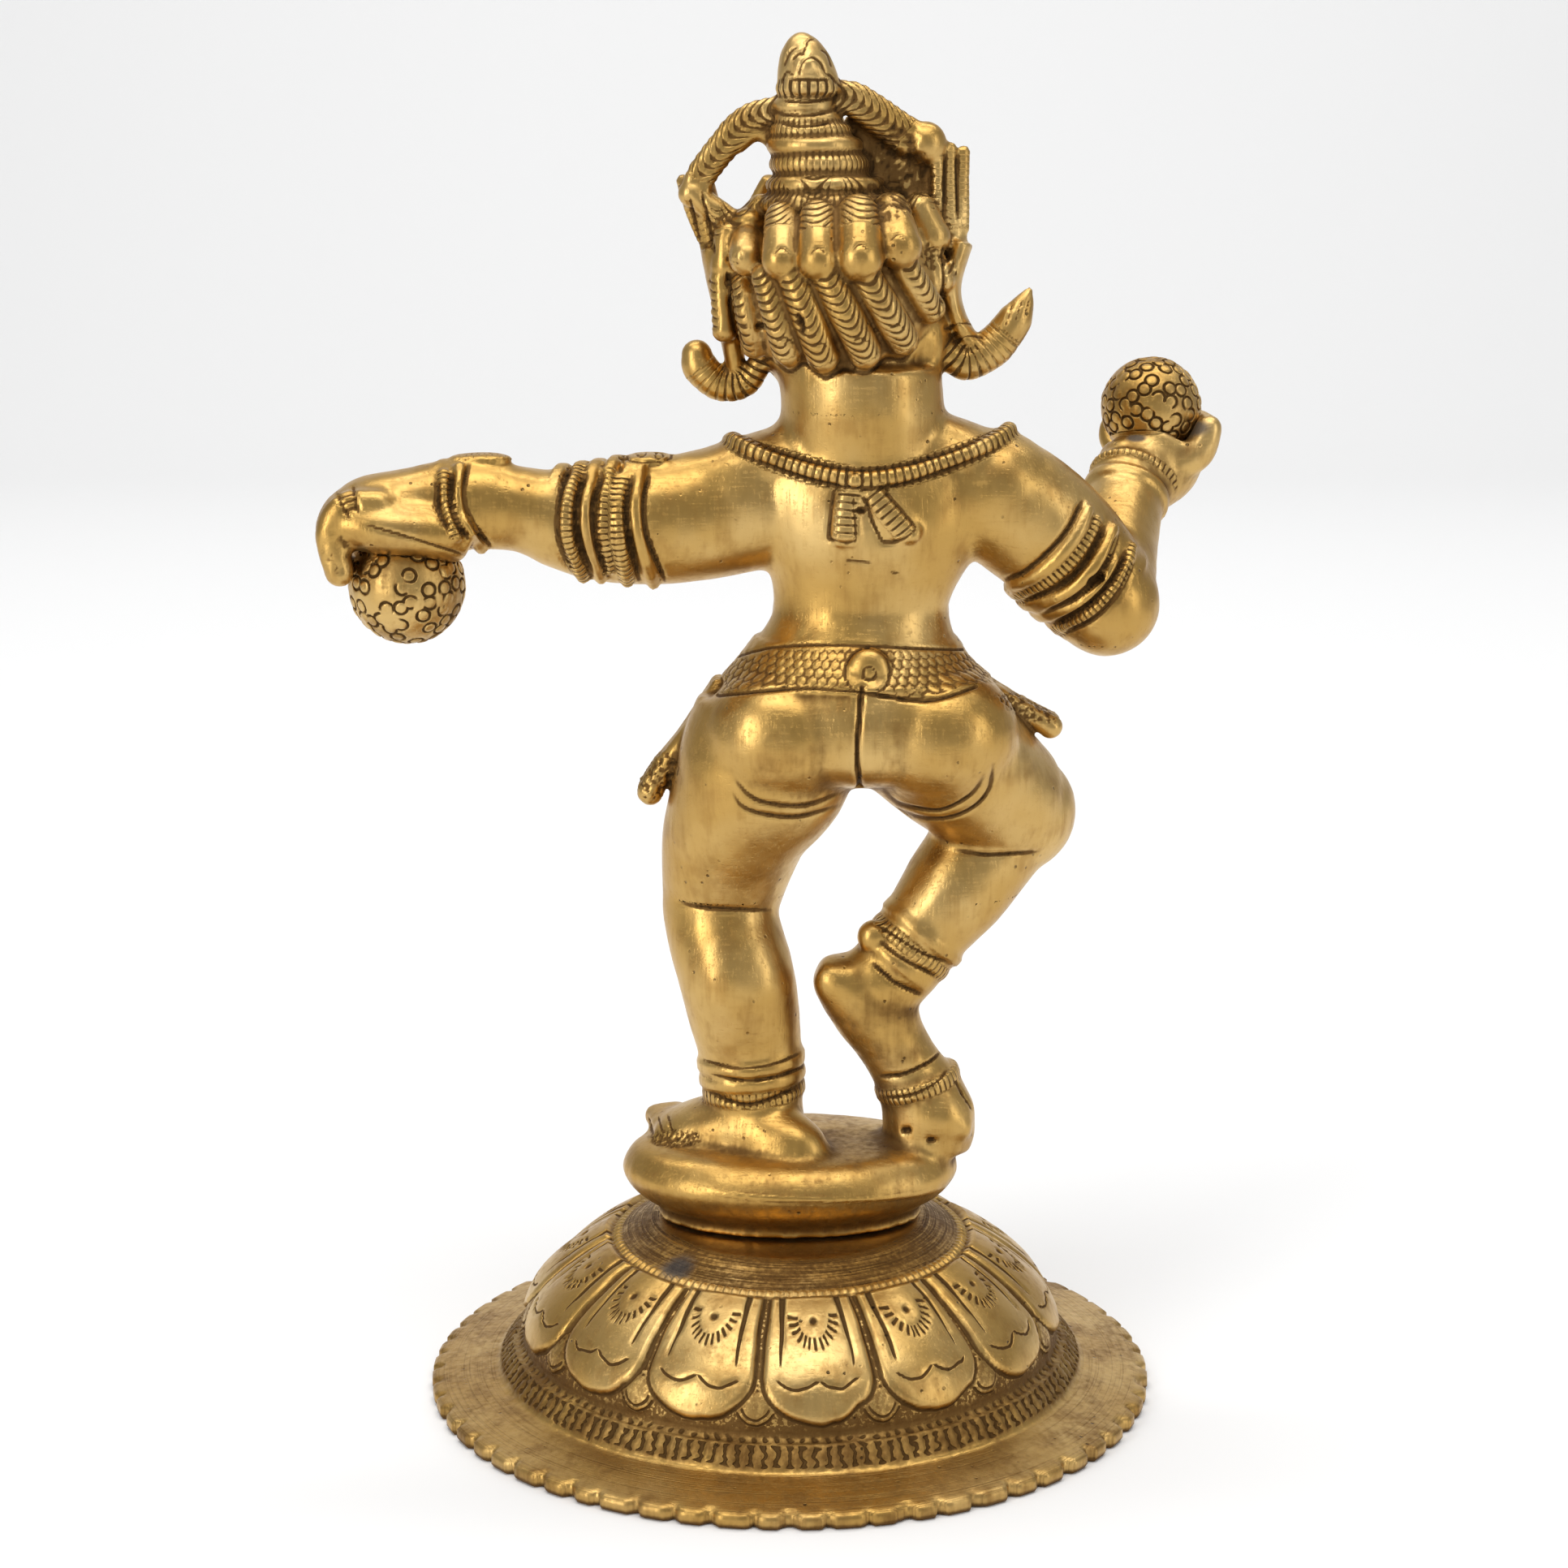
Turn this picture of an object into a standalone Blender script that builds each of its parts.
# Brass figure of a dancing child with a laddu in each hand, on a lotus base.
# Metres, +Z up. The figure faces -Y, its own left hand is on the +X side.
# The origin is on the floor, under the middle of the base.

import math

import bmesh
import bpy
from mathutils import Matrix, Vector

MM = 0.001

# Overall sizes
BASE_RADIUS = 62.9 * MM
BASE_HEIGHT = 29.7 * MM
FIGURE_HEIGHT = 200.0 * MM
JOINT_GAP = 0.3 * MM

# Lotus base
RIM_EDGE = 2.5 * MM
RIM_THICKNESS = 4.2 * MM
RIM_WIDTH = 11.4 * MM
NOTCH_DEPTH = 1.1 * MM
NOTCHES = 64
BEAD_BAND_WIDTH = 4.8 * MM
BEAD_BAND_HEIGHT = 4.6 * MM
SEAT_RADIUS = 24.0 * MM
COLLAR_WIDTH = 8.2 * MM
COLLAR_DROP = 4.5 * MM
PETALS = 14
PETAL_TURN = 6.0
PETAL_RELIEF = 1.6 * MM
STEPS_PER_PETAL = 9
DOME_RINGS = 5
BASE_WALL = 4.0 * MM
HOLLOW_SHARE = 0.72
HOLLOW_RINGS = 3
HOLLOW_STEPS = 32

# The two sweets
RAISED_LADDU_RADIUS = 8.9 * MM
LOWERED_LADDU_RADIUS = 9.7 * MM

# The figure is laid out in shares of its own height: 200 parts high
PARTS_HIGH = 200
PART = FIGURE_HEIGHT / PARTS_HIGH
FIGURE_FOOT = BASE_HEIGHT + JOINT_GAP
REMESH_VOXEL = 0.55 * PART
SMOOTH_PASSES = 3
FIGURE_TRIANGLES = 5500
RING_SIDES = 20

# Places that more than one form uses: x, y, height, in parts
SHOULDER_L = (8, 0, 124.5)
SHOULDER_R = (-34, 0, 126.5)
ELBOW_R = (-53.5, -4.8, 106.7)
HEAD = (-8.8, -3, 158.5)
KNEE_R = (-38, -6, 70.6)
RAISED_LADDU = (-63.9, -34, 137.5)
LOWERED_LADDU = (62.9, 9, 111.6)


def clear_scene():
    for old in list(bpy.data.objects):
        bpy.data.objects.remove(old, do_unlink=True)


def new_collection(name):
    collection = bpy.data.collections.new(name)
    bpy.context.scene.collection.children.link(collection)
    return collection


def brass(name, colour, roughness):
    material = bpy.data.materials.new(name)
    material.use_nodes = True
    shader = material.node_tree.nodes["Principled BSDF"]
    shader.inputs["Base Color"].default_value = (*colour, 1.0)
    shader.inputs["Metallic"].default_value = 1.0
    shader.inputs["Roughness"].default_value = roughness
    return material


def object_from(bm, name, collection):
    mesh = bpy.data.meshes.new(name)
    bm.to_mesh(mesh)
    bm.free()
    made = bpy.data.objects.new(name, mesh)
    collection.objects.link(made)
    return made


def applied(made):
    """The object with its modifiers made into its mesh."""
    graph = bpy.context.evaluated_depsgraph_get()
    mesh = bpy.data.meshes.new_from_object(made.evaluated_get(graph))
    made.modifiers.clear()
    made.data = mesh
    return made


def cut(made, cutter):
    cutter.hide_render = True
    cutter.display_type = "WIRE"
    modifier = made.modifiers.new("cut " + cutter.name, "BOOLEAN")
    modifier.operation = "DIFFERENCE"
    modifier.solver = "EXACT"
    modifier.object = cutter


def at(x, y, height):
    """A place on the figure, from its parts."""
    return Vector((x * PART, y * PART, FIGURE_FOOT + height * PART))


def between(a, b, share):
    return tuple(p + (q - p) * share for p, q in zip(a, b))


# Forms of the figure. All of them go into one bmesh and are fused at the end.

def add_ring(bm, middle, along, half_width, half_depth):
    """A ring of vertices across a limb: width in the picture plane, depth along Y."""
    depth = (Vector((0, 1, 0)) - along * along.y).normalized()
    width = depth.cross(along)
    ring = []
    for side in range(RING_SIDES):
        turn = math.tau * side / RING_SIDES
        ring.append(bm.verts.new(middle + width * (half_width * PART * math.cos(turn))
                                 + depth * (half_depth * PART * math.sin(turn))))
    return ring


def limb(bm, stations, level=False):
    """A loft through unlike ovals: x, y, height, half width, half depth.

    The ovals stand across the limb, or lie level, as on the trunk.
    """
    if len(stations) > 2:
        stations = smooth_path(stations, 3)
    middles = [at(*station[:3]) for station in stations]
    rings = []
    for i, station in enumerate(stations):
        ahead = middles[min(i + 1, len(middles) - 1)]
        behind = middles[max(i - 1, 0)]
        along = Vector((0, 0, 1 if ahead.z > behind.z else -1)) if level else ahead - behind
        rings.append(add_ring(bm, middles[i], along.normalized(), *station[3:]))
    for lower, upper in zip(rings, rings[1:]):
        for side in range(RING_SIDES):
            after = (side + 1) % RING_SIDES
            bm.faces.new((lower[side], lower[after], upper[after], upper[side]))
    bm.faces.new(rings[0][::-1])
    bm.faces.new(rings[-1])


def ball(bm, place, radii, lean=0.0):
    """An ellipsoid; lean turns it about Y, in degrees."""
    size = Matrix.Diagonal(Vector(radii) * PART).to_4x4()
    turn = Matrix.Rotation(math.radians(lean), 4, "Y")
    bmesh.ops.create_icosphere(bm, subdivisions=3, radius=1.0,
                               matrix=Matrix.Translation(at(*place)) @ turn @ size)


def strand(bm, points, radius, closed=False):
    """A round tube along points, with radius in parts; one number or one for each point."""
    curve = bpy.data.curves.new("strand", "CURVE")
    curve.dimensions = "3D"
    curve.bevel_depth = PART
    curve.bevel_resolution = 2
    curve.use_fill_caps = True
    spline = curve.splines.new("POLY")
    spline.points.add(len(points) - 1)
    spline.use_cyclic_u = closed
    radii = radius if isinstance(radius, (list, tuple)) else [radius] * len(points)
    for point, place, size in zip(spline.points, points, radii):
        point.co = (*at(*place), 1.0)
        point.radius = size
    guide = bpy.data.objects.new("strand", curve)
    bpy.context.scene.collection.objects.link(guide)
    graph = bpy.context.evaluated_depsgraph_get()
    mesh = bpy.data.meshes.new_from_object(guide.evaluated_get(graph))
    bm.from_mesh(mesh)
    bpy.data.objects.remove(guide, do_unlink=True)
    bpy.data.meshes.remove(mesh)


def band(bm, start, end, share, width, half_width, half_depth):
    """A raised band round a limb, share of the way from start to end."""
    length = (Vector(end) - Vector(start)).length
    half = width / 2 / length
    ends = (between(start, end, share - half), between(start, end, share + half))
    limb(bm, [(*place, half_width, half_depth) for place in ends])


def smooth_path(points, steps=6):
    """Points on a smooth curve through the given ones."""
    path = []
    for i in range(len(points) - 1):
        before = Vector(points[max(i - 1, 0)])
        here = Vector(points[i])
        there = Vector(points[i + 1])
        after = Vector(points[min(i + 2, len(points) - 1)])
        for step in range(steps):
            t = step / steps
            path.append(tuple(0.5 * (2 * here + (there - before) * t
                                     + (2 * before - 5 * here + 4 * there - after) * t * t
                                     + (3 * here - before - 3 * there + after) * t ** 3)))
    path.append(tuple(points[-1]))
    return path


def pad(bm):
    """The oval ground under the feet, cast in one with them, and its stem."""
    limb(bm, [(0, 0, 0, 23.5, 14.5), (0, 0, 1.4, 22.8, 14), (0, 0, 4.4, 27, 17.2),
              (0, 0, 8.6, 29.2, 18.8), (0, 0, 10.8, 28.7, 18), (0, 0, 13, 26.3, 15.4),
              (0, 0, 13.8, 18, 10)], level=True)


def standing_leg(bm):
    limb(bm, [(1.5, 3, 88, 14.6, 14), (4.6, 2.5, 79, 14.8, 14), (8.4, 0, 71, 12.8, 13),
              (10.2, -2, 65, 11.9, 12), (11.7, -3.5, 57, 10.5, 10.6), (12.2, -3, 53.5, 9.6, 9.8),
              (11, -1, 49, 9.9, 9.6), (9.2, 1, 43, 10, 9.8), (8, 1, 37, 9.7, 8.8),
              (7, 0.5, 31, 9.1, 8), (6.2, 0.5, 25, 8.6, 7.6), (5.6, 1, 18, 8, 7.6),
              (4.5, 2, 12, 8.5, 8)])
    limb(bm, [(-4, 8, 14, 4.5, 4), (0, 6, 15, 6.5, 6), (7, 2, 16, 6.5, 7),
              (15, -2, 14.6, 4.6, 7.5), (20.6, -5, 13.6, 3.2, 7)])
    for toe in range(5):
        ball(bm, (23.6 - 0.5 * toe, -10.2 + 3.2 * toe, 13.6), (3 - 0.2 * toe, 1.9, 1.8))
    for height, size in ((27.6, 9.4), (25, 9.3), (22.4, 8.9)):
        limb(bm, [(6.3, 0.5, height - 0.9, size, size - 1), (6.4, 0.5, height + 0.9, size, size - 1)])


def bent_leg(bm):
    limb(bm, [(-19, 3, 89, 13, 14), (-26.4, 2, 82.4, 12.8, 13.8), (-32.6, -2, 76.4, 12, 12.6),
              (-38, -6, 71, 11.2, 11.4), (-40, -7.5, 70.4, 8, 8)])
    ball(bm, KNEE_R, (11.3, 11.2, 11))
    limb(bm, [(-38, -6, 71, 10.5, 10), (-33.5, -4, 64.5, 9.6, 9.6), (-28.5, -1.5, 58, 9.2, 9.2),
              (-23, 0, 51, 7.9, 7.8), (-18.5, 1, 45, 7.6, 7), (-14, 2, 40.5, 7.8, 6.5)])
    limb(bm, [(-6, 3, 44, 3.2, 4.4), (-9, 2.5, 42, 5.6, 5.6), (-14.4, 1.5, 37, 7.4, 6.4),
              (-17.6, 0.5, 31, 6.2, 6.4), (-20.6, 0, 26, 6.6, 6.8), (-23.6, 0, 21, 8, 7.4),
              (-24.2, 0, 15, 8.4, 7.6), (-24.2, 0, 11, 7.8, 7)])
    for toe in range(5):
        ball(bm, (-29.8 + 0.3 * toe, 5.4 - 2.9 * toe, 16.4), (2.6, 1.7, 3.2))
    shin = ((-24, 0, 52), (-16, 1.6, 42.5))
    for share, size in ((0.18, 8.2), (0.48, 8), (0.74, 7.7)):
        band(bm, *shin, share, 1.9, size, size - 0.4)
    ball(bm, (-14.4, 4, 50.6), (3, 2.6, 3))
    limb(bm, [(-21.8, 0, 24.4, 7.2, 7.5), (-22.6, 0, 22.6, 7.9, 7.9)])


def hips(bm):
    limb(bm, [(-12, 0, 106, 14.6, 11.4), (-11.2, 0.5, 101, 16.9, 13), (-11.5, 1.5, 96, 21.4, 15),
              (-11.8, 2.5, 90, 25.2, 16.4), (-11.8, 2.5, 83, 27.6, 16), (-11.8, 1.5, 79, 25, 13),
              (-11.8, 0, 77, 8, 7)], level=True)
    ball(bm, (1.4, 7.2, 86), (13.2, 12.4, 11.6))
    ball(bm, (-24.8, 7.2, 86), (13.2, 12.4, 11.6))
    ball(bm, (-12, -3.8, 105), (15, 11.6, 15.6))


def belt(bm):
    limb(bm, [(-11.3, 1.6, 95.4, 22.4, 16.2), (-10.8, 0.8, 99, 19, 14.6),
              (-11, 0.2, 102.6, 16.8, 12.8)], level=True)
    ball(bm, (-12.7, 14, 98.8), (4, 3.6, 4))
    ball(bm, (-11.4, -14.8, 99.2), (4, 2.6, 4.2))
    limb(bm, [(12, -2, 93, 2, 3.4), (17.5, -3, 84.4, 1.9, 3.2), (22, -4, 78, 2.7, 3.8),
              (23.6, -4, 75.4, 2.9, 3.8)])
    limb(bm, [(-30.6, -2, 94.6, 2.2, 3.4), (-37.6, -3, 90, 2, 3.2), (-43.6, -4, 86.4, 2.7, 3.6)])
    limb(bm, [(-11.4, -14.5, 96, 7.2, 2.4), (-11.2, -15.8, 88, 6.6, 2.6), (-11, -14, 80, 5.2, 2.4),
              (-10.6, -11.5, 74.4, 3.6, 2)])


def torso(bm):
    limb(bm, [(-11.8, 0, 100, 15, 11.4), (-11.8, 0, 106, 14.6, 11.2), (-12.8, 0, 112, 16, 12),
              (-13.4, 0.4, 119, 19.6, 13), (-13.2, 0.6, 126, 21.4, 12.6),
              (-12.6, 0.6, 130, 21.6, 11.2), (-12.4, 0.8, 134, 17.6, 10.4),
              (-12.2, 1, 138, 14.2, 10.4)], level=True)
    limb(bm, [(-8, 0.5, 134, 6, 9), (2, 0.3, 131.3, 5.6, 9), (14, 0, 127.6, 5.6, 8)])
    limb(bm, [(-18, 0.5, 134.4, 7, 9), (-28, 0.3, 131.6, 6.4, 9), (-37, 0, 127.6, 6.6, 8)])
    for side, place in ((1, SHOULDER_L), (-1, SHOULDER_R)):
        ball(bm, place, (10.5, 10.2, 10))
    for chest in (-21, -5.4):
        ball(bm, (chest, -6.6, 121), (8.6, 6.6, 7.4))


def neck(bm):
    limb(bm, [(-12.4, 1, 128, 16, 11), (-12.2, 1, 134, 14, 12), (-12, 1.5, 140, 13.5, 12.6),
              (-11.4, 1.5, 147, 13.6, 12.4)], level=True)
    ball(bm, (-22.8, -0.5, 151.4), (4, 6, 6.4))


def necklaces(bm):
    """Two rows that lie on the chest, and the knotted ends that hang behind."""
    for drop, radius in ((0, 1.9), (6.5, 1.6)):
        loop = []
        for step in range(32):
            turn = math.tau * step / 32
            back = max(math.sin(turn), 0)
            front = max(-math.sin(turn), 0)
            loop.append((-12.8 + (22.4 + 0.06 * drop * front) * math.cos(turn), 11.4 * back - 12.8 * front,
                         132.6 - 3.4 * back - (drop + 5.4) * front))
        strand(bm, loop, radius, closed=True)
    ball(bm, (-12.8, -12.8, 116), (3.6, 2.4, 4.4))
    ball(bm, (-12, 12, 129.2), (2.2, 2, 2.2))
    limb(bm, [(-10.8, 11.6, 128.8, 1.9, 2), (-9, 12, 124, 1.9, 2), (-8.6, 12, 119.6, 2, 2)])
    limb(bm, [(-13.2, 11.6, 128.6, 1.9, 2), (-16, 12, 124, 2.1, 2), (-18.8, 12, 119.6, 2.2, 2)])


def lowered_arm(bm):
    limb(bm, [(0, 0, 124, 9.6, 9), (10, 0.6, 122.9, 10.8, 9.4), (19.9, 1.8, 121.4, 10.6, 9),
              (29.8, 3.4, 120.9, 9.7, 8.5), (37.6, 5, 122, 8.4, 7.9), (43.4, 6.2, 123.6, 7.1, 7.1),
              (51.1, 7.8, 124.9, 7.4, 6.7), (56.8, 8.8, 125.3, 6.7, 6.5), (62.5, 9.4, 125, 5.7, 6.8),
              (69.1, 10, 124.8, 4.9, 7), (73.4, 10, 123.8, 3.5, 6.4)])
    arm = ((19.9, 1.8, 122), (39.6, 5.4, 122.4))
    for share, size in ((0.12, 11.2), (0.34, 11), (0.58, 10.2), (0.84, 9.4)):
        band(bm, *arm, share, 2.1, size, size - 0.8)
    ball(bm, (23.1, 2.2, 131.8), (4, 4.4, 1.6))
    band(bm, (51.1, 7.8, 124.7), (58.7, 9, 125.1), 0.42, 4.6, 8, 7.7)
    ball(bm, (50.5, 7.6, 132.2), (5.3, 3.4, 1.6))
    for finger in range(4):
        across = 16.4 - 3.9 * finger
        reach = (-0.4, 0.2, 0.6, 0)[finger]
        strand(bm, smooth_path([(67.6, across, 126), (72.8 + reach, across, 125.6),
                                (74.8 + reach, across - 0.2, 121.6), (72.8 + reach, across - 0.4, 115.3)]),
               2.3)
    strand(bm, smooth_path([(58.9, 4, 124), (61.8, -0.8, 121.7), (64.7, -2.4, 116.2)]), 2.2)


def raised_arm(bm):
    limb(bm, [(-26, 0, 126.6, 9.6, 9.6), (-34.2, 0, 125, 10.8, 9.8), (-41.2, -1, 120.4, 11, 9.4),
              (-48, -3, 113.9, 10.4, 9), (-53.1, -5, 107.3, 9, 8.4), (-55.1, -5.6, 104.1, 6, 6)])
    arm = ((-35.4, 0, 124.4), (-54, -5, 107))
    for share, size in ((0.28, 11.7), (0.46, 11.5), (0.64, 11), (0.8, 10.3)):
        band(bm, *arm, share, 2.1, size, size - 1.6)
    ball(bm, ELBOW_R, (9.2, 8.6, 9.2))
    limb(bm, [(-53.5, -6, 108.9, 8.6, 8.4), (-55.4, -14.6, 114.6, 7.9, 8.1), (-57.7, -22, 120.3, 7.1, 7.3),
              (-59.6, -27.4, 125.2, 6.5, 6.5), (-61.1, -30.6, 128.8, 6.5, 5.7)])
    limb(bm, [(-58.4, -23.8, 121.8, 8.3, 8.1), (-59.6, -27.2, 125, 8.1, 7.9)])
    limb(bm, [(-59.9, -27, 123.8, 6.3, 6.7), (-64.1, -31.4, 127.8, 8.3, 7.5), (-66.1, -33, 130.8, 7.9, 8.1)])
    for finger in range(4):
        along = -38.6 + 3.7 * finger
        strand(bm, smooth_path([(-67.2, along, 127.6), (-72.2, along, 130.2), (-74.6, along, 135.1)]), 2)
    strand(bm, smooth_path([(-59, -38.6, 128.8), (-57.4, -42.4, 131.8), (-58.6, -43, 136.3)]), 2)


def head(bm):
    ball(bm, HEAD, (16.6, 17.6, 19))
    ball(bm, (-10.4, -7.6, 150.6), (13.4, 13, 12.6))
    ball(bm, (-11, -16.6, 143.4), (4.6, 4, 3.8))
    limb(bm, [(-9.4, -20.2, 160.6, 1.4, 1.2), (-9.7, -21.4, 156, 1.6, 1.8),
              (-9.9, -22.2, 153.6, 2.3, 2.2), (-10, -21, 152.4, 2, 1.4)])
    ball(bm, (-10.3, -20, 149.2), (3.6, 1.8, 1))
    ball(bm, (-10.4, -19.6, 147.6), (2.9, 1.8, 1.1))
    for side in (-1, 1):
        ball(bm, (-9.5 + 6.3 * side, -18.2, 158.2), (3.5, 2, 1.7), lean=-6 * side)
        ball(bm, (-9.3 + 6.4 * side, -17.9, 162), (4.6, 1.8, 0.9), lean=8 * side)
        ball(bm, (-10 + 7.4 * side, -14.8, 151.6), (4.6, 4, 4.2))


def round_head(turn, reach, depth, height):
    """A place on the hair: turn is 0 behind and grows towards the figure's left ear."""
    angle = math.radians(turn)
    return (-7.8 + reach * math.sin(angle), 1.6 + depth * math.cos(angle), height)


def hair(bm):
    """A row of round curls over a row of slanting locks, from ear to ear behind."""
    ball(bm, (-8, 2, 158), (16.6, 15.4, 16.5))
    for curl in range(7):
        place = round_head(72 - 24.5 * curl, 15.6, 15.6, 166 + 0.1 * curl * curl)
        ball(bm, place, (3.5, 3.3, 5))
    for lock in range(8):
        turn = 88 - 22 * lock
        top = round_head(turn, 15.8, 15.2, 161.6 + 0.3 * lock)
        foot = round_head(turn - 2 - 4.4 * lock, 14.4, 13.4, 148.2 + 0.1 * lock * lock)
        strand(bm, smooth_path([top, between(top, foot, 0.5), foot]), [2.4] * 6 + [2.9] * 6 + [2.6])


def ears_and_rings(bm):
    limb(bm, [(12.6, -2, 166, 2.2, 4.2), (11.6, -2, 160, 2, 4.8), (10, -2, 153, 1.9, 4),
              (8.8, -2, 145.6, 1.6, 2.6)])
    limb(bm, [(-28.2, -2, 167, 2, 4.2), (-26.4, -2, 160, 1.9, 4.8), (-27.4, -2, 154.6, 1.8, 4),
              (-30, -2, 149.8, 1.9, 2.8)])
    strand(bm, smooth_path([(4, 0, 149.5), (7, -1, 144), (11.6, -2, 144), (14.8, -2, 146.8), (15.2, -2, 147.6)]),
           [2] * 12 + [2.8] * 6 + [3] * 6 + [1.6])
    strand(bm, smooth_path([(-24.4, 0, 150.4), (-28.6, -1, 147), (-33.6, -2, 149.8),
                            (-37.4, -2, 154.6), (-39, -2, 158.2)]),
           [2.2] * 6 + [2.8] * 6 + [3.4] * 6 + [2.8, 2.7, 2.5, 2.3, 2, 1.6, 1])


def crown(bm):
    """Ringed top-knot, bud finial, two side loops and the leaf plates above the ears."""
    knot = [(-6.6, 0, 165, 13, 13), (-6.3, 0.4, 170, 11.6, 11.6), (-6, 0.6, 173, 10.8, 10.8)]
    for height, radius in ((175, 10.4), (178, 9.4), (181, 9.2), (184, 8), (187, 7.4)):
        lean = (height - 165) * 0.15
        knot.append((-6.6 + lean, lean * 0.6, height - 1, radius - 0.7, radius - 0.7))
        knot.append((-6.6 + lean, lean * 0.6, height, radius, radius))
        knot.append((-6.6 + lean, lean * 0.6, height + 1, radius - 0.7, radius - 0.7))
    limb(bm, knot, level=True)
    limb(bm, [(-3.4, 2.4, 187, 6.2, 6.2), (-3.2, 2.6, 189.6, 6.4, 6.2), (-2.9, 2.8, 191.4, 5.4, 5.4),
              (-2.6, 3, 194, 5.2, 5.2), (-2.2, 3.2, 197, 4.2, 4.2), (-1.9, 3.4, 199.4, 2, 2),
              (-1.9, 3.4, 200, 0.6, 0.6)], level=True)
    limb(bm, [(-1, 1, 187.6, 2.4, 3), (4, 0.6, 187.2, 2.4, 3), (8, 0, 185.6, 2.4, 3),
              (11.4, 0, 182, 2.5, 3), (14, 0, 178.6, 2.4, 3), (15.4, 0, 175.6, 2.4, 3)])
    strand(bm, smooth_path([(3.4, 0, 183.6), (6, 0, 184.4), (9, 0, 181)]), 1.7)
    strand(bm, smooth_path([(16, 0, 174.6), (12, 0, 172.4), (8, 0, 169.6), (5, 0, 172.6)]), 2)
    limb(bm, [(-5, 1.6, 191, 2.2, 3), (-9, 1.4, 191, 2.2, 3), (-14.6, 1, 189, 2.4, 3),
              (-19.6, 0.4, 185.8, 3, 3), (-23.4, 0, 182.6, 3.4, 3)])
    ball(bm, (-22.4, 0, 182.6), (3.6, 3.4, 3.6))
    limb(bm, [(15.8, -2, 177, 2.6, 4), (14.8, -2, 172, 2.8, 4.4), (12, -2, 164.6, 2.2, 3.6)])
    limb(bm, [(-25.6, -2, 181.4, 3.4, 4), (-26.2, -2, 174, 3.4, 4.4), (-27.2, -2, 167, 2.2, 3.6)])
    limb(bm, [(-17, 0, 166, 9, 3), (-17.6, -1.6, 174, 8.4, 2.2), (-16, -1.6, 182, 6.6, 1.8),
              (-12, -1, 188.6, 3, 1.6)])
    tiara(bm)


def tiara(bm):
    """The band over the forehead, with a tall middle leaf and a lower leaf on each side."""
    arc = []
    for step in range(13):
        turn = math.radians(12 + 13 * step)
        arc.append((-8 + 18.6 * math.cos(turn), -2 - 18.4 * math.sin(turn), 165.6))
    strand(bm, arc, 2)
    limb(bm, [(-8, -19.4, 166, 5.4, 2), (-7.6, -18.6, 173, 6.2, 1.8), (-6.8, -15, 181, 4.8, 2),
              (-5.2, -8, 188.6, 2.4, 3)])
    for side in (-1, 1):
        limb(bm, [(-8 + 11 * side, -15.6, 166, 4, 2), (-7.8 + 11.4 * side, -14.4, 171.4, 4, 1.6),
                  (-7.4 + 10.8 * side, -11.6, 177.4, 1.2, 1.4)])


def dancing_figure(collection, cutters):
    bm = bmesh.new()
    for form in (pad, standing_leg, bent_leg, hips, belt, torso, neck, necklaces, lowered_arm,
                 raised_arm, head, hair, ears_and_rings, crown):
        form(bm)
    bmesh.ops.triangulate(bm, faces=bm.faces)
    figure = object_from(bm, "dancing_figure", collection)
    fuse = figure.modifiers.new("fuse", "REMESH")
    fuse.mode = "VOXEL"
    fuse.voxel_size = REMESH_VOXEL
    soften = figure.modifiers.new("soften", "SMOOTH")
    soften.iterations = SMOOTH_PASSES
    applied(figure)
    keep_largest(figure)
    level_foot(figure)
    figure.data.calc_loop_triangles()
    thin = figure.modifiers.new("thin", "DECIMATE")
    thin.ratio = FIGURE_TRIANGLES / len(figure.data.loop_triangles)
    thin.use_collapse_triangulate = True
    applied(figure)
    for place, radius in ((RAISED_LADDU, RAISED_LADDU_RADIUS), (LOWERED_LADDU, LOWERED_LADDU_RADIUS)):
        cut(figure, laddu("laddu_seat", place, radius + JOINT_GAP, cutters))
    return figure


def keep_largest(made):
    """Drops the small shells that fusing may leave inside."""
    bm = bmesh.new()
    bm.from_mesh(made.data)
    bm.verts.ensure_lookup_table()
    seen = set()
    largest = []
    for start in bm.verts:
        if start in seen:
            continue
        seen.add(start)
        shell = [start]
        for vert in shell:
            for edge in vert.link_edges:
                other = edge.other_vert(vert)
                if other not in seen:
                    seen.add(other)
                    shell.append(other)
        if len(shell) > len(largest):
            largest = shell
    kept = set(largest)
    bmesh.ops.delete(bm, geom=[v for v in bm.verts if v not in kept], context="VERTS")
    bm.to_mesh(made.data)
    bm.free()


def level_foot(made):
    """Cuts the stem's underside flat, just clear of the base, and sets the full height."""
    bm = bmesh.new()
    bm.from_mesh(made.data)
    low = min(v.co.z for v in bm.verts)
    high = max(v.co.z for v in bm.verts)
    for vert in bm.verts:
        vert.co.z = FIGURE_FOOT + (vert.co.z - low) * FIGURE_HEIGHT / (high - low)
    level = FIGURE_FOOT + 0.5 * PART
    cut_line = bmesh.ops.bisect_plane(bm, geom=bm.verts[:] + bm.edges[:] + bm.faces[:],
                                      plane_co=(0, 0, level), plane_no=(0, 0, 1), clear_inner=True)
    rim = [e for e in cut_line["geom_cut"] if isinstance(e, bmesh.types.BMEdge)]
    bmesh.ops.contextual_create(bm, geom=rim)
    for vert in bm.verts:
        if abs(vert.co.z - level) < 0.01 * PART:
            vert.co.z = FIGURE_FOOT
    bmesh.ops.triangulate(bm, faces=bm.faces)
    bm.to_mesh(made.data)
    bm.free()


def laddu(name, place, radius, collection):
    bm = bmesh.new()
    bmesh.ops.create_icosphere(bm, subdivisions=3, radius=radius)
    made = object_from(bm, name, collection)
    made.location = at(*place)
    return made


# Lotus base

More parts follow.
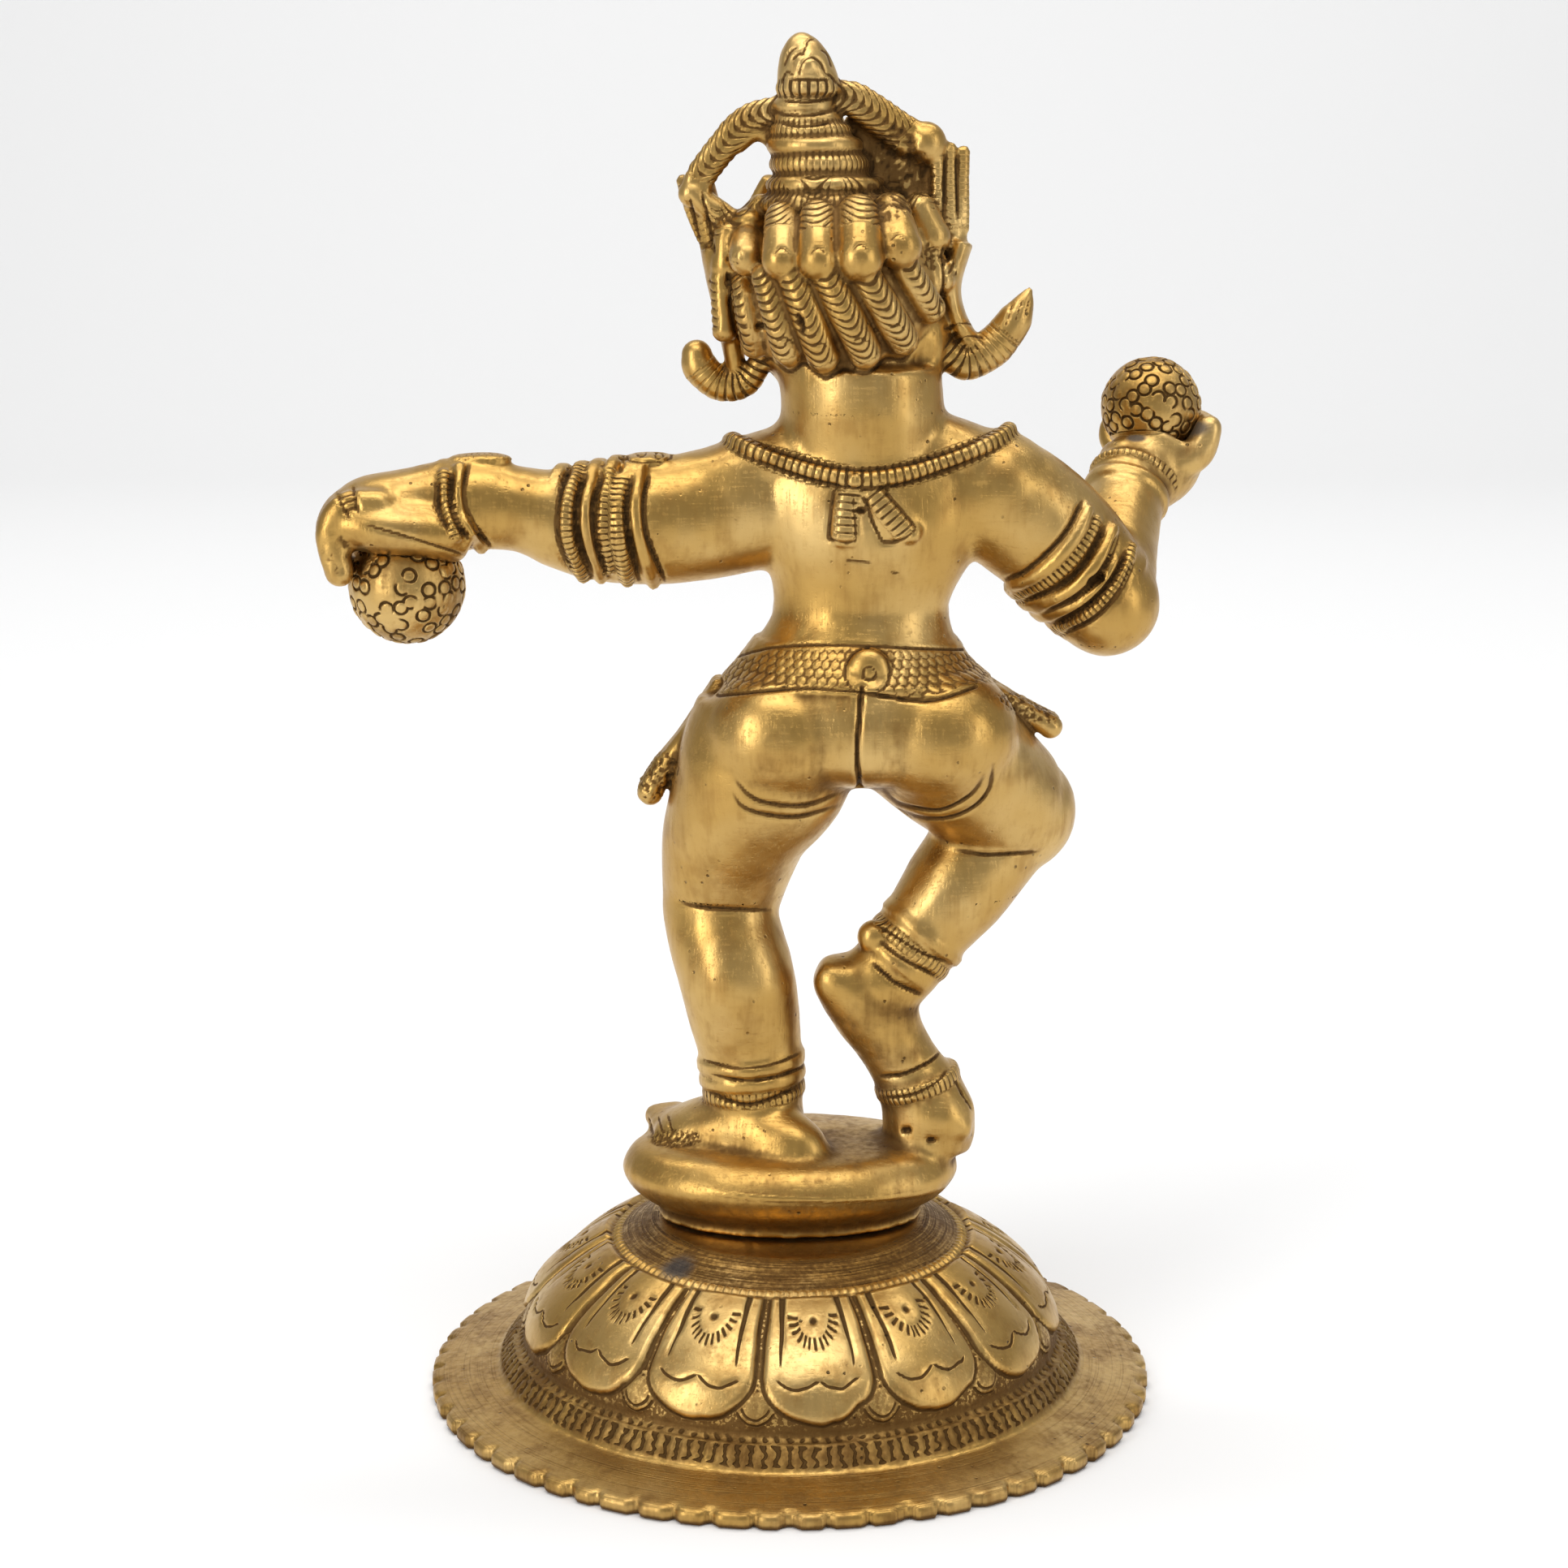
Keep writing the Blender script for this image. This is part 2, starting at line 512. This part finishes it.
def petal_zone():
    """Radius and height where the petals start and end, down the dome."""
    top = (SEAT_RADIUS + COLLAR_WIDTH, BASE_HEIGHT - COLLAR_DROP)
    tip = (BASE_RADIUS - RIM_WIDTH - BEAD_BAND_WIDTH, RIM_THICKNESS + BEAD_BAND_HEIGHT)
    return top, tip


def dome_profile():
    """Down the outer side, from the axis to the floor and back."""
    (top_r, top_z), (tip_r, tip_z) = petal_zone()
    profile = [(0, BASE_HEIGHT), (SEAT_RADIUS, BASE_HEIGHT),
               (top_r - 0.5 * COLLAR_WIDTH, BASE_HEIGHT - 0.36 * COLLAR_DROP), (top_r, top_z)]
    for step in range(1, DOME_RINGS + 1):
        down = step / DOME_RINGS
        profile.append((top_r + (tip_r - top_r) * math.sin(math.pi / 2 * down ** 0.9),
                        top_z + (tip_z - top_z) * down))
    bead_r = BASE_RADIUS - RIM_WIDTH
    profile += [(bead_r - 0.6 * BEAD_BAND_WIDTH, RIM_THICKNESS + 0.8 * BEAD_BAND_HEIGHT),
                (bead_r, RIM_THICKNESS), (BASE_RADIUS, RIM_EDGE), (BASE_RADIUS, 0), (0, 0)]
    return profile


def petal_height(turn, down):
    """Relief of a petal: turn round the base, down the dome from 0 to 1."""
    if not 0 <= down <= 1:
        return 0.0
    across = abs((turn / math.tau * PETALS) % 1 - 0.5) * 2
    widest = 0.62
    if down < widest:
        half = 0.9 + 0.1 * down / widest
    else:
        half = math.sqrt(max(0.0, 1 - ((down - widest) / (1 - widest)) ** 2))
    if across >= half:
        return 0.0
    return PETAL_RELIEF * (1 - (across / half) ** 2) ** 0.4 * min(1.0, 0.35 + down * 2)


def lotus_base(collection, cutters):
    bm = bmesh.new()
    points = [bm.verts.new((radius, 0, height)) for radius, height in dome_profile()]
    for upper, lower in zip(points, points[1:]):
        bm.edges.new((upper, lower))
    base = object_from(bm, "lotus_base", collection)
    turn = base.modifiers.new("turn", "SCREW")
    turn.steps = PETALS * STEPS_PER_PETAL
    turn.render_steps = turn.steps
    turn.use_merge_vertices = True
    turn.merge_threshold = 0.01 * MM
    applied(base)
    (_, top_z), (_, tip_z) = petal_zone()
    notch_step = math.tau / NOTCHES
    for vert in base.data.vertices:
        radius = math.hypot(vert.co.x, vert.co.y)
        if radius < 1 * MM:
            continue
        turn = math.atan2(vert.co.y, vert.co.x) % math.tau
        push = 0.0
        if tip_z - 0.1 * MM < vert.co.z < top_z + 0.1 * MM:
            push = petal_height(turn, (top_z - vert.co.z) / (top_z - tip_z))
        if radius > BASE_RADIUS - 0.5 * MM and abs((turn / notch_step) % 1 - 0.5) < 0.25:
            push = -NOTCH_DEPTH
        vert.co.x *= (radius + push) / radius
        vert.co.y *= (radius + push) / radius
        vert.co.z += 0.5 * max(push, 0)
    base.rotation_euler.z = math.radians(PETAL_TURN)
    cut(base, base_hollow(cutters))
    return base


def base_hollow(cutters):
    """The open underside, one wall inside the dome."""
    (top_r, top_z), (tip_r, tip_z) = petal_zone()
    bm = bmesh.new()
    below = -5 * MM
    inner = HOLLOW_SHARE * top_r
    profile = [(0, top_z - BASE_WALL), (inner, top_z - BASE_WALL)]
    for step in range(1, HOLLOW_RINGS + 1):
        turn = math.pi / 2 * (1 - step / HOLLOW_RINGS)
        profile.append((inner + (tip_r - BASE_WALL - inner) * math.cos(turn),
                        tip_z + (top_z - BASE_WALL - tip_z) * math.sin(turn)))
    profile += [(tip_r - BASE_WALL, below), (0, below)]
    points = [bm.verts.new((radius, 0, height)) for radius, height in profile]
    for upper, lower in zip(points, points[1:]):
        bm.edges.new((upper, lower))
    hollow = object_from(bm, "base_hollow", cutters)
    turn = hollow.modifiers.new("turn", "SCREW")
    turn.steps = HOLLOW_STEPS
    turn.render_steps = HOLLOW_STEPS
    turn.use_merge_vertices = True
    turn.merge_threshold = 0.01 * MM
    return applied(hollow)


def main():
    clear_scene()
    idol = new_collection("laddu_idol")
    cutters = new_collection("cutters")
    pieces = {
        "lotus_base": lotus_base(idol, cutters),
        "dancing_figure": dancing_figure(idol, cutters),
        "raised_laddu": laddu("raised_laddu", RAISED_LADDU, RAISED_LADDU_RADIUS, idol),
        "lowered_laddu": laddu("lowered_laddu", LOWERED_LADDU, LOWERED_LADDU_RADIUS, idol),
    }
    finishes = {
        "lotus_base": brass("base brass", (0.56, 0.37, 0.12), 0.36),
        "dancing_figure": brass("figure brass", (0.62, 0.42, 0.14), 0.3),
        "raised_laddu": brass("raised laddu brass", (0.66, 0.46, 0.17), 0.34),
        "lowered_laddu": brass("lowered laddu brass", (0.66, 0.46, 0.17), 0.36),
    }
    for name, piece in pieces.items():
        piece.data.materials.clear()
        piece.data.materials.append(finishes[name])
        piece.data.shade_smooth()
        piece.data.set_sharp_from_angle(angle=math.radians(40))
        piece.data.calc_loop_triangles()
        print(name, len(piece.data.loop_triangles), "triangles before cuts")


main()
